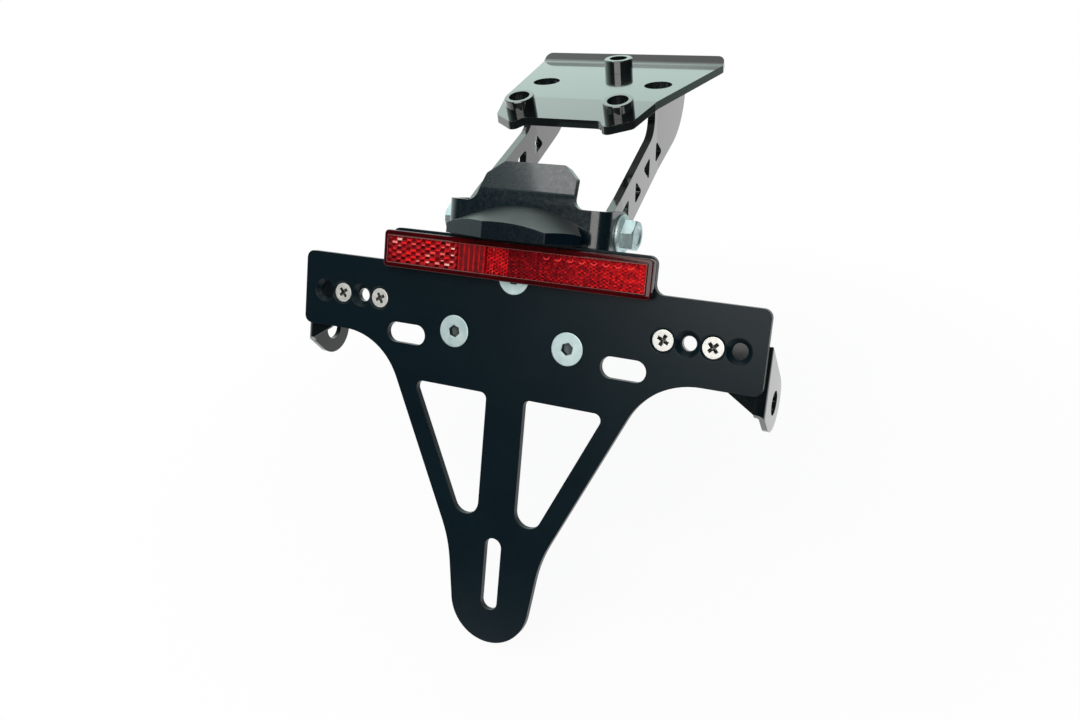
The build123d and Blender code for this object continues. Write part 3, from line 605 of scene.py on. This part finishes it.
pivot_nut = nut(flats=10.0, height=6.0, bore_r=3.3, ring=hex_ring, flange_r=7.1, flange_t=1.4)
pivot_lock = make_piece(
    "flange_nuts", on_pivot(pivot_nut, PIVOT_NUT_X, LEFT_AXES, RIGHT_AXES),
    zinc, "mount_frame", SCREW_CREASE)
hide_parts("pivot_nuts")


# Reflector: a red cap with a raised edge round a field of prisms, in millimetres from its middle

FIELD_U, FIELD_V, FIELD_MID = 50.3, 4.7, 19.8
BRICK_END, RIB_END, FINE_END = -20.9, -9.0, -0.3
BRICK_PITCH = 2.38
PRISM_FLOOR = 4.62
DASH_LEVEL = PRISM_FLOOR + 0.72
SCALLOP_LEVEL = PRISM_FLOOR + 0.5
PRISM_CREASE = 10

# Shades of prisms run from 0, deep red, to 1, a pale glint, which only the dashes reach;
# they paint light and shade onto the red facets, and the pale end is a painted glint
FACET_LIMIT = 0.84
DASH_SHADE, DASH_GLINT = 0.79, 0.21
DASH_DROP = 0.42
RIB_UNEVEN = 0.2
SCALLOP_ARC = (math.radians(215), math.radians(350))
SCALLOP_DROP = 0.55

# Half length, half height, corner radius and level of the cap's rows, from the middle of its tray
# over the raised edge and round to the back
CAP_ROWS = (
    (0, 0, 0, 4.6), (50.3, 4.7, 0.1, 4.6), (50.4, 4.8, 0.1, 5.5), (50.55, 4.95, 0.12, 5.5),
    (50.8, 5.2, 0.15, 5.25), (50.8, 5.2, 0.15, 5.0), (51.9, 6.3, 1.1, 5.0),
    (52.15, 6.55, 1.35, 4.93), (52.33, 6.73, 1.53, 4.75), (52.4, 6.8, 1.6, 4.5),
    (52.4, 6.8, 1.6, 2.8), (0, 0, 0, 2.8),
)
# The band along the top of the raised edge carries the painted highlight
PALE_BAND = 2
CAP_STEPS = 160
CAP_CREASE = 40

dice = np.random.default_rng(11)


def cube_prisms(u_low, u_high, pitch, relief, shades, uneven, drift=0.0):
    """Cube corners on a hexagon lattice: three rhombs rise from each cell's deep middle to every
    other corner; each carries a painted shade by its side, lit or in shade, unevenly, and
    lighter by the drift from the left end to the right."""
    column = pitch * math.sqrt(3) / 2
    reach = math.ceil(FIELD_V / pitch)
    i, j = np.meshgrid(
        np.arange(math.floor(u_low / column) - 1, math.ceil(u_high / column) + 2),
        np.arange(-reach - 2, reach + 3), indexing="ij")
    middle = np.stack([i * column, (j + 0.5 * np.mod(i, 2)) * pitch], axis=-1).reshape(-1, 1, 2)
    angle = np.arange(6) * math.pi / 3
    ring = np.stack([np.cos(angle), np.sin(angle)], axis=-1)
    flat = np.concatenate([middle, middle + pitch / math.sqrt(3) * ring], axis=1)
    flat[..., 0] = np.clip(flat[..., 0], u_low, u_high)
    flat[..., 1] = np.clip(flat[..., 1], -FIELD_V, FIELD_V)
    rise = np.where(np.arange(6) % 2 == 0, 1.0, 0.5) * relief
    level = np.broadcast_to(np.concatenate([[0.0], rise]), flat.shape[:2])
    points = np.concatenate([flat, level[..., None]], axis=-1).reshape(-1, 3)
    rhombs = np.array([[0, 6, 1, 2], [0, 2, 3, 4], [0, 4, 5, 6]])
    quads = (np.arange(len(middle))[:, None, None] * flat.shape[1] + rhombs).reshape(-1, 4)
    share = (middle[:, :, 0] - u_low) / (u_high - u_low) - 0.5
    marks = np.array(shades) + uneven * (dice.random((len(middle), 3)) - 0.5) + drift * share
    return points, quads, np.clip(marks, 0.0, FACET_LIMIT).reshape(-1)


def dashes(u_low, u_high, pitch, half_u, half_v, share):
    """Painted glints: short bright strips across the low side of a share of the lattice's cells,
    each a flat rectangle of its own size and shade."""
    column = pitch * math.sqrt(3) / 2
    first, last = math.ceil((u_low + half_u) / column), math.floor((u_high - half_u) / column)
    i, j = np.meshgrid(np.arange(first, last + 1), np.arange(-2, 3), indexing="ij")
    v = (j + 0.5 * np.mod(i, 2) - DASH_DROP) * pitch
    middle = np.stack([i * column, v], axis=-1).reshape(-1, 1, 2)
    inside = np.abs(middle[:, 0, 1]) < FIELD_V - half_v
    middle = middle[inside & (dice.random(len(middle)) < share)]
    corner = np.array([[-half_u, -half_v], [half_u, -half_v], [half_u, half_v], [-half_u, half_v]])
    flat = middle + corner * (0.6 + 0.6 * dice.random((len(middle), 1, 1)))
    points = np.concatenate([flat, np.zeros((len(middle), 4, 1))], axis=-1).reshape(-1, 3)
    shades = DASH_SHADE + DASH_GLINT * dice.random(len(middle)) ** 2.5
    return points, np.arange(len(points)).reshape(-1, 4), shades


def rib_prisms(u_low, u_high, pitch, relief, shades, rows=9):
    """Upright ribs: a zigzag across the field, the same at every height, its two flanks in two
    uneven shades, painted as a lit flank and a shaded flank."""
    across = np.clip(np.arange(u_low, u_high + pitch / 4, pitch / 2), u_low, u_high)
    v, u = np.meshgrid(np.linspace(-FIELD_V, FIELD_V, rows), across, indexing="ij")
    level = np.broadcast_to(np.where(np.arange(len(across)) % 2 == 0, 0.0, relief), u.shape)
    points = np.stack([u, v, level], axis=-1).reshape(-1, 3)
    flanks = np.tile(np.resize(np.array(shades), len(across) - 1), rows - 1)
    marks = flanks + RIB_UNEVEN * (dice.random(len(flanks)) - 0.5)
    return points, grid_quads(rows, len(across), False), marks


def scallops(u_low, u_high, pitch, inner, outer, shade, steps=15):
    """A row of thin crescents of painted highlight: the lower part of a ring round each centre,
    narrowed to a point at both of its ends."""
    swing = np.linspace(*SCALLOP_ARC, steps)
    waist = np.sin(np.linspace(0, math.pi, steps)) ** 0.5
    reach = np.stack([np.full(steps, inner), inner + (outer - inner) * waist])
    centre = np.arange(u_low, u_high, pitch)[:, None, None]
    u = centre + reach * np.cos(swing)
    v = np.broadcast_to(FIELD_V - SCALLOP_DROP + reach * np.sin(swing), u.shape)
    points = np.stack([u, v, np.zeros(u.shape)], axis=-1).reshape(-1, 3)
    quads = np.arange(len(centre))[:, None, None] * 2 * steps + grid_quads(2, steps, False)
    return points, quads.reshape(-1, 4), shade


def ring_rows(rows):
    """Closed shell from rows of half length, half height, corner radius and level: each row a
    rounded rectangle; one band is marked for a pale painted highlight."""
    half_u, half_v, corner, level = (np.array(c)[:, None] for c in zip(*rows))
    turn = np.linspace(0, 2 * math.pi, CAP_STEPS, endpoint=False) + math.pi / CAP_STEPS
    u = np.sign(np.cos(turn)) * (half_u - corner) + corner * np.cos(turn)
    v = np.sign(np.sin(turn)) * (half_v - corner) + corner * np.sin(turn)
    points = np.stack([u, v, np.broadcast_to(level, u.shape)], axis=-1).reshape(-1, 3)
    marks = np.repeat(np.arange(len(rows) - 1) == PALE_BAND, len(turn)).astype(float)
    return points, grid_quads(len(rows), len(turn), True), marks


def on_reflector(shape, level=0.0):
    """A shape drawn about the reflector's middle, laid on the leaning face at a level above it."""
    points, quads, marks = shape
    raised = points + np.array([0.0, 0.0, level])
    return set_in(raised, face_point(0, FIELD_MID, 0), FACE_AXES), quads, marks


bricks = cube_prisms(-FIELD_U, BRICK_END, BRICK_PITCH, relief=0.7,
                     shades=(0.50, 0.18, 0.38), uneven=0.3)
# Painted glints on the brick prisms
glints = dashes(-FIELD_U, BRICK_END, BRICK_PITCH, half_u=0.9, half_v=0.36, share=0.96)
ribs = rib_prisms(BRICK_END, RIB_END, 2.06, relief=0.6, shades=(0.56, 0.22))
fine = cube_prisms(RIB_END, FINE_END, 1.3, relief=0.5, shades=(0.66, 0.30, 0.55), uneven=0.4)
wide = cube_prisms(FINE_END, FIELD_U, 1.19, relief=0.45, shades=(0.41, 0.31, 0.46), uneven=0.4,
                   drift=0.32)
# Painted highlights along the top of the wide prisms
painted_crescents = scallops(14.0, 49.0, 4.4, inner=1.2, outer=1.7, shade=0.81)
prisms = make_piece("reflector_prisms", [
    on_reflector(bricks, PRISM_FLOOR),
    on_reflector(glints, DASH_LEVEL),
    on_reflector(ribs, PRISM_FLOOR),
    on_reflector(fine, PRISM_FLOOR),
    on_reflector(wide, PRISM_FLOOR),
    on_reflector(painted_crescents, SCALLOP_LEVEL),
], prism_red, "plate_unit", PRISM_CREASE)
skin = make_piece("reflector_cap", [on_reflector(ring_rows(CAP_ROWS))],
                  cap_red, "plate_unit", CAP_CREASE)
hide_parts("reflector_lens")
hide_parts("reflector_lens")


# Studio, in metres

FLOOR_LEFT, FLOOR_RIGHT, FLOOR_FRONT, FLOOR_BACK = -4, 0.35, -0.3, 4
SHADOW_FADE = (0.22, 0.355)
SHADOW_WHITE = (0.90, 1.0)
BACKDROP_WAY = (-0.7, 0.7, -0.1)
BACKDROP_TINT = (0.80, 1.0, 0.93, 1)
BACKDROP_RANGE = (-0.1, 0.8)
BACKDROP_LIGHT = (0.03, 1.15)
PART_MIDDLE = (0.0, -0.1, -0.04)


def larger(parts, links, first, second):
    """The larger of two values."""
    pick = parts.new("ShaderNodeMath")
    pick.operation = "MAXIMUM"
    links.new(first, pick.inputs[0])
    links.new(second, pick.inputs[1])
    return pick.outputs["Value"]


def mix_shaders(parts, links, factor, first, second):
    """Blend of two shaders, the second by the factor."""
    mix = parts.new("ShaderNodeMixShader")
    links.new(factor, mix.inputs["Fac"])
    links.new(first, mix.inputs[1])
    links.new(second, mix.inputs[2])
    return mix.outputs["Shader"]


def studio_floor():
    """Pale floor clear of the tip's lowest swing: white to the camera, to reflections and through
    clear pieces, with the shadow kept near the part in a diffuse share that runs out with the
    distance."""
    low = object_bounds()[0][2] - TIP_DROP
    corners = [(x, y, low) for x, y in (
        (FLOOR_LEFT, FLOOR_FRONT), (FLOOR_RIGHT, FLOOR_FRONT),
        (FLOOR_RIGHT, FLOOR_BACK), (FLOOR_LEFT, FLOOR_BACK))]
    mesh = bpy.data.meshes.new("floor")
    mesh.from_pydata(corners, [], [(0, 1, 2, 3)])
    floor = bpy.data.objects.new("floor", mesh)
    scene.collection.objects.link(floor)
    material = bpy.data.materials.new("floor_white")
    material.use_nodes = True
    parts, links = material.node_tree.nodes, material.node_tree.links
    parts.clear()
    matt = parts.new("ShaderNodeBsdfDiffuse")
    matt.inputs["Color"].default_value = (0.86, 0.87, 0.87, 1)
    white = parts.new("ShaderNodeEmission")
    white.inputs["Color"].default_value = (1, 1, 1, 1)
    white.inputs["Strength"].default_value = 1.0
    far = parts.new("ShaderNodeVectorMath")
    far.operation = "LENGTH"
    links.new(parts.new("ShaderNodeTexCoord").outputs["Object"], far.inputs[0])
    share = map_range(parts, links, far.outputs["Value"], SHADOW_FADE, SHADOW_WHITE)
    path = parts.new("ShaderNodeLightPath").outputs
    direct = larger(parts, links, path["Is Camera Ray"], path["Is Glossy Ray"])
    by_eye = larger(parts, links, direct, path["Is Transmission Ray"])
    seen = mix_shaders(parts, links, share, matt.outputs["BSDF"], white.outputs["Emission"])
    surface = mix_shaders(parts, links, by_eye, matt.outputs["BSDF"], seen)
    links.new(surface, parts.new("ShaderNodeOutputMaterial").inputs["Surface"])
    mesh.materials.append(material)


def studio_world():
    """White all round to the camera and through clear pieces; in reflections and as light it is
    bright behind the part, where the backdrop stands, and falls to dim in front of it on the
    right."""
    world = bpy.data.worlds.new("studio")
    scene.world = world
    world.use_nodes = True
    parts, links = world.node_tree.nodes, world.node_tree.links
    parts.clear()
    along = parts.new("ShaderNodeVectorMath")
    along.operation = "DOT_PRODUCT"
    along.inputs[1].default_value = BACKDROP_WAY
    links.new(parts.new("ShaderNodeTexCoord").outputs["Generated"], along.inputs[0])
    bright = map_range(parts, links, along.outputs["Value"],
                       BACKDROP_RANGE, BACKDROP_LIGHT, "SMOOTHSTEP")
    backdrop = parts.new("ShaderNodeBackground")
    backdrop.inputs["Color"].default_value = BACKDROP_TINT
    links.new(bright, backdrop.inputs["Strength"])
    white = parts.new("ShaderNodeBackground")
    white.inputs["Color"].default_value = (1, 1, 1, 1)
    path = parts.new("ShaderNodeLightPath").outputs
    straight = larger(parts, links, path["Is Camera Ray"], path["Is Transmission Ray"])
    surface = mix_shaders(parts, links, straight,
                          backdrop.outputs["Background"], white.outputs["Background"])
    links.new(surface, parts.new("ShaderNodeOutputWorld").inputs["Surface"])


def softbox(name, place, aim, size, power, colour):
    """Rectangular area light that faces its aim."""
    light = bpy.data.lights.new(name, "AREA")
    light.shape = "RECTANGLE"
    light.size, light.size_y = size
    light.energy = power
    light.color = colour
    lamp = bpy.data.objects.new(name, light)
    away = np.array(place) - np.array(aim)
    away /= np.linalg.norm(away)
    across = np.cross((0.0, 0.0, 1.0), away)
    across /= np.linalg.norm(across)
    up = np.cross(away, across)
    rows = [[across[k], up[k], away[k], place[k]] for k in range(3)]
    lamp.matrix_world = Matrix(rows + [[0, 0, 0, 1]])
    scene.collection.objects.link(lamp)


studio_floor()
studio_world()
softbox("key_box", place=(0.16, -1.0, 0.66), aim=(0.0, -0.11, -0.06), size=(1.15, 1.05),
        power=13.5, colour=(1.0, 0.98, 0.94))
softbox("top_box", place=(-0.10, 0.05, 1.0), aim=PART_MIDDLE, size=(1.0, 1.0),
        power=2.2, colour=(1.0, 1.0, 1.0))
softbox("back_box", place=(-0.52, 0.55, 0.70), aim=PART_MIDDLE, size=(0.7, 0.7),
        power=0.9, colour=(0.88, 1.0, 0.95))
softbox("tab_strip", place=(-0.396, -0.212, 0.89), aim=(0.02, -0.088, -0.008), size=(0.12, 0.08),
        power=0.14, colour=(1.0, 1.0, 0.98))

camera = bpy.data.cameras.new("camera")
camera.sensor_fit = "HORIZONTAL"
camera.sensor_width = 36.0
camera.lens = 31.37
camera.clip_start = 0.01
viewer = bpy.data.objects.new("camera", camera)
viewer.matrix_world = Matrix((
    (0.8991, -0.1522, 0.4105, 0.14935),
    (0.4297, 0.4863, -0.7608, -0.37006),
    (-0.0838, 0.8604, 0.5026, 0.09597),
    (0, 0, 0, 1),
))
scene.collection.objects.link(viewer)
scene.camera = viewer
scene.view_settings.view_transform = "Standard"
